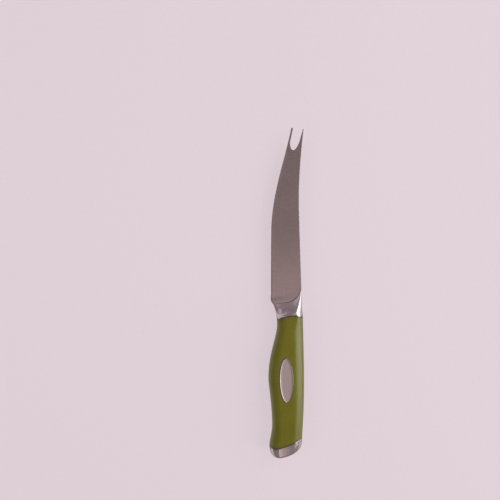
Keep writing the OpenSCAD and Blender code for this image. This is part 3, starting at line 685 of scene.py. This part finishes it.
def steel(name, dark, light, fineness, rough, bump, attribute=None, tint=None, graze=1.0, painted_shade=None):
    """Satin steel: lines turn its colour from dark to light and its roughness, marks vary the latter.
    Where the attribute is 1, near a seam or an edge, the colour is tint; at a seam this is painted shade
    in the gap between parts. A graze below 1 dims what is mirrored at flat angles, such as the pale floor
    along the rims. The last argument is (start, end, factor): between these places along y, the colour
    goes down to that factor, a painted shade for a darker reflection."""
    material, tree, shader, coords = new_material(name, Metallic=1.0)
    shader.inputs["Specular Tint"].default_value = (graze, graze, graze, 1)
    lines = placed(tree, GRAIN, coords, Fineness=fineness, Contrast=1.6)
    marks = placed(tree, MARKS, coords, Size=70.0)
    colour = mixed(tree, lines, dark, light)
    # Painted shade: the colour darkens along y, standing in for a darker reflection
    if painted_shade:
        along = add(tree, "ShaderNodeSeparateXYZ", {"Vector": coords}).outputs["Y"]
        start, end = (float(y + SHIFT[1]) / 1000 for y in painted_shade[:2])
        out = add(tree, "ShaderNodeMapRange", {"Value": along}, From_Min=start, From_Max=end,
                  interpolation_type="SMOOTHSTEP").outputs[0]
        node = add(tree, "ShaderNodeMix", {0: out, 6: colour}, data_type="RGBA", blend_type="MULTIPLY")
        node.inputs[7].default_value = (painted_shade[2], painted_shade[2], painted_shade[2], 1)
        colour = node.outputs[2]
    if attribute:
        near = add(tree, "ShaderNodeAttribute", attribute_name=attribute).outputs["Fac"]
        node = add(tree, "ShaderNodeMix", {0: near, 6: colour}, data_type="RGBA")
        node.inputs[7].default_value = (*tint, 1)
        colour = node.outputs[2]
    tree.links.new(colour, shader.inputs["Base Color"])
    brushed, handled = ranged(tree, lines, *rough), ranged(tree, marks, 0.0, 0.05)
    total = add(tree, "ShaderNodeMath", {0: brushed, 1: handled}, operation="ADD")
    tree.links.new(total.outputs[0], shader.inputs["Roughness"])
    height = add(tree, "ShaderNodeBump", {"Height": lines}, Strength=bump, Distance=0.00002)
    tree.links.new(height.outputs[0], shader.inputs["Normal"])
    return material


def green_plastic():
    """Glossy moulded plastic: faint mottling in the colour, soft marks in the gloss, a fine ripple."""
    material, tree, shader, coords = new_material("olive_green_plastic", IOR=1.46)
    shader.inputs["Specular IOR Level"].default_value = 0.6
    marks = placed(tree, MARKS, coords, Size=55.0)
    # Painted shade: near each seam the colour goes dark, as if the gap between parts were shaded
    seam = add(tree, "ShaderNodeAttribute", attribute_name="seam").outputs["Fac"]
    body = mixed(tree, marks, (0.115, 0.114, 0.0), (0.129, 0.128, 0.0))
    tint = add(tree, "ShaderNodeMix", {0: seam, 6: body}, data_type="RGBA")
    tint.inputs[7].default_value = (0.03, 0.027, 0.004, 1)
    tree.links.new(tint.outputs[2], shader.inputs["Base Color"])
    tree.links.new(ranged(tree, marks, 0.29, 0.36), shader.inputs["Roughness"])
    ripple = add(tree, "ShaderNodeTexNoise", {"Vector": coords}, Scale=900.0, Detail=2.0)
    height = add(tree, "ShaderNodeBump", {"Height": ripple.outputs["Fac"]}, Strength=0.12, Distance=0.00003)
    tree.links.new(height.outputs[0], shader.inputs["Normal"])
    return material


def badge_metal():
    """Plate brushed along its length, with a smoother, slightly darker rim."""
    material, tree, shader, coords = new_material("brushed_badge", Metallic=1.0)
    lines = placed(tree, GRAIN, coords, Fineness=(9000.0, 500.0, 9000.0), Contrast=2.0)
    rim = add(tree, "ShaderNodeAttribute", attribute_name="rim").outputs["Fac"]
    field = mixed(tree, lines, (0.60, 0.52, 0.51), (0.72, 0.63, 0.615))
    edge = add(tree, "ShaderNodeMix", {0: rim, 6: field}, data_type="RGBA")
    edge.inputs[7].default_value = (0.36, 0.32, 0.33, 1)
    tree.links.new(edge.outputs[2], shader.inputs["Base Color"])
    rough = add(tree, "ShaderNodeMix", {0: rim, 2: ranged(tree, lines, 0.34, 0.48)}, data_type="FLOAT")
    rough.inputs[3].default_value = 0.2
    tree.links.new(rough.outputs[0], shader.inputs["Roughness"])
    height = add(tree, "ShaderNodeBump", {"Height": lines}, Strength=0.25, Distance=0.00002)
    tree.links.new(height.outputs[0], shader.inputs["Normal"])
    return material


GLOW_SHARE = 0.82


def floor_paper():
    """Pale card. Seen by the camera, in gloss or through glass, most of it glows in its own colour:
    soft shadows. The rest is lit, so that the knife's shadow stays."""
    material, tree, shader, coords = new_material("pale_paper", Roughness=0.85)
    grain = add(tree, "ShaderNodeTexNoise", {"Vector": coords}, Scale=400.0, Detail=3.0)
    colour = mixed(tree, grain.outputs["Fac"], (0.80, 0.69, 0.745), (0.83, 0.72, 0.775))
    path = tree.nodes.new("ShaderNodeLightPath").outputs
    tree.links.new(colour, shader.inputs["Base Color"])
    seen = path["Is Camera Ray"]
    for kind in ("Is Glossy Ray", "Is Transmission Ray"):
        seen = add(tree, "ShaderNodeMath", {0: seen, 1: path[kind]}, operation="MAXIMUM").outputs[0]
    share = add(tree, "ShaderNodeMath", {0: seen}, operation="MULTIPLY")
    share.inputs[1].default_value = GLOW_SHARE
    glow = add(tree, "ShaderNodeEmission", {"Color": colour}, Strength=0.9)
    mix = add(tree, "ShaderNodeMixShader", {0: share.outputs[0], 1: shader.outputs[0], 2: glow.outputs[0]})
    tree.links.new(mix.outputs[0], tree.nodes["Material Output"].inputs["Surface"])
    return material


# Assembly
# The seam colour of the steels is painted shade: it darkens the steel next to each seam, as a shaded gap
# would
CAP_DARK, CAP_LIGHT, CAP_LINES, PAINTED_SEAM_SHADE = (
    (0.68, 0.62, 0.635), (0.75, 0.69, 0.71), (5200.0, 300.0, 5200.0), (0.12, 0.11, 0.11))
# The blade's colour goes darker from the heel towards the fork: painted shade for its darker reflection
# there
BLADE_STEEL = steel("blade_satin_steel", (0.54, 0.47, 0.455), (0.62, 0.54, 0.52), (160.0, 5200.0, 160.0),
                    (0.22, 0.31), 0.2, "edge", (0.62, 0.58, 0.56), painted_shade=(HEEL_Y, HEEL_Y + 55, 0.74))
CAP_STEEL = steel("cap_satin_steel", CAP_DARK, CAP_LIGHT, CAP_LINES, (0.12, 0.17), 0.06,
                  "seam", PAINTED_SEAM_SHADE, graze=0.35)
BOLSTER_STEEL = steel("bolster_satin_steel", CAP_DARK, CAP_LIGHT, CAP_LINES, (0.2, 0.25), 0.06,
                      "seam", PAINTED_SEAM_SHADE, graze=0.45)
PIN_STEEL = steel("pin_steel", (0.42, 0.41, 0.40), (0.55, 0.54, 0.53), (300.0, 300.0, 6000.0),
                  (0.25, 0.35), 0.1)


def dress(piece, node, material, angle=35):
    """Gives a piece its material and shading, and puts it in its CAD node's place on the root body."""
    piece.data.materials.clear()
    piece.data.materials.append(material)
    soften(piece, angle)
    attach(piece, "root")
    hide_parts(node)


handle = make_handle()
cut_seat(handle)
dress(make_blade(), "blade", BLADE_STEEL, 12)
dress(make_bolster(), "bolster", BOLSTER_STEEL)
dress(handle, "handle", green_plastic())
dress(make_cap(), "end_cap", CAP_STEEL)
dress(make_badge(), "badge", badge_metal())
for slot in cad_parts["tang_pin"].material_slots:
    slot.material = PIN_STEEL

# Camera
TURN, TILT, DISTANCE = math.radians(-2.0488), math.radians(14.2), 628.6
FRAME_PX, FOCAL_PX, SENSOR, AIM = 500, 897, 36.0, (-35.401, 157.916, 0)
along = Vector((-math.sin(TURN), math.cos(TURN), 0))
aside = Vector((math.cos(TURN), math.sin(TURN), 0))
upward = Vector((0, 0, 1))
aim = Vector(AIM) + Vector(SHIFT)
cam_up = along * math.cos(TILT) - upward * math.sin(TILT)
cam_back = along * math.sin(TILT) + upward * math.cos(TILT)
camera = bpy.data.objects.new("camera", bpy.data.cameras.new("camera"))
bpy.context.scene.collection.objects.link(camera)
place = (aim + cam_back * DISTANCE) / 1000
camera.matrix_world = Matrix((
    (aside.x, cam_up.x, cam_back.x, place.x),
    (aside.y, cam_up.y, cam_back.y, place.y),
    (aside.z, cam_up.z, cam_back.z, place.z),
    (0, 0, 0, 1)))
camera.data.sensor_width = SENSOR
camera.data.lens = SENSOR * FOCAL_PX / FRAME_PX
camera.data.clip_start = 0.01
bpy.context.scene.camera = camera

# Floor, lamps and world
HALF_FLOOR = 2.5
corners = [(x * HALF_FLOOR, y * HALF_FLOOR, 0) for x, y in ((-1, -1), (1, -1), (1, 1), (-1, 1))]
floor_mesh = bpy.data.meshes.new("floor")
floor_mesh.from_pydata(corners, [], [(0, 1, 2, 3)])
floor = bpy.data.objects.new("floor", floor_mesh)
bpy.context.scene.collection.objects.link(floor)
floor_mesh.materials.append(floor_paper())


def lamp(name, reach, swing, height, size, radiance, colour=(1.0, 0.98, 0.98),
         middle=(0, -0.06), gloss=True):
    """Soft rectangular lamp that faces the middle, a point just over the floor, from a distance of
    reach: swing is the angle from +X towards +Y and height the angle above the floor. Its power
    follows from the radiance that a mirror would show. Without gloss no reflection shows it."""
    data = bpy.data.lights.new(name, "AREA")
    data.shape, data.size, data.size_y = "RECTANGLE", size[0], size[1]
    data.energy = radiance * math.pi * size[0] * size[1]
    data.color = colour
    obj = bpy.data.objects.new(name, data)
    bpy.context.scene.collection.objects.link(obj)
    a, b = math.radians(swing), math.radians(height)
    direction = Vector((math.cos(a) * math.cos(b), math.sin(a) * math.cos(b), math.sin(b)))
    obj.location = Vector((*middle, 0.01)) + direction * reach
    obj.rotation_euler = (-direction).to_track_quat("-Z", "Y").to_euler()
    obj.visible_glossy = gloss


lamp("right_card", 0.85, 0, 30, (0.4, 0.98), 3.5, middle=(0, -0.33))
lamp("right_front_low", 0.85, 0, 22, (0.72, 0.6), 1.3, middle=(0, 0.26))
lamp("right_front_high", 0.85, 0, 52, (0.6, 0.24), 1.5, middle=(0, 0.25))
lamp("front_card", 0.97, 48, 31, (0.6, 0.6), 2.6, middle=(0, 0))
lamp("front_high", 0.9, 45, 60, (0.45, 0.34), 1.1, middle=(0, 0))
lamp("left_gloss", 0.85, 156, 30, (0.5, 0.85), 0.26, middle=(0, 0))
lamp("left_fill", 0.85, 180, 45, (0.8, 0.5), 1.75, gloss=False)
lamp("strip", 0.9, -90, 59, (0.12, 0.33), 0.5, (1.0, 0.8, 0.74), middle=(-0.06, -0.06))
lamp("heel_sky", 0.9, -90, 77, (0.8, 0.46), 0.17, (1.0, 0.8, 0.78))
lamp("left_sky", 0.95, -90, 91, (0.14, 0.28), 0.36, middle=(-0.3, -0.06))

world = bpy.data.worlds.new("studio")
bpy.context.scene.world = world
world.use_nodes = True
world.node_tree.nodes["Background"].inputs["Color"].default_value = (0.25, 0.196, 0.208, 1)
world.node_tree.nodes["Background"].inputs["Strength"].default_value = 1.0
bpy.context.scene.view_settings.view_transform = "Standard"
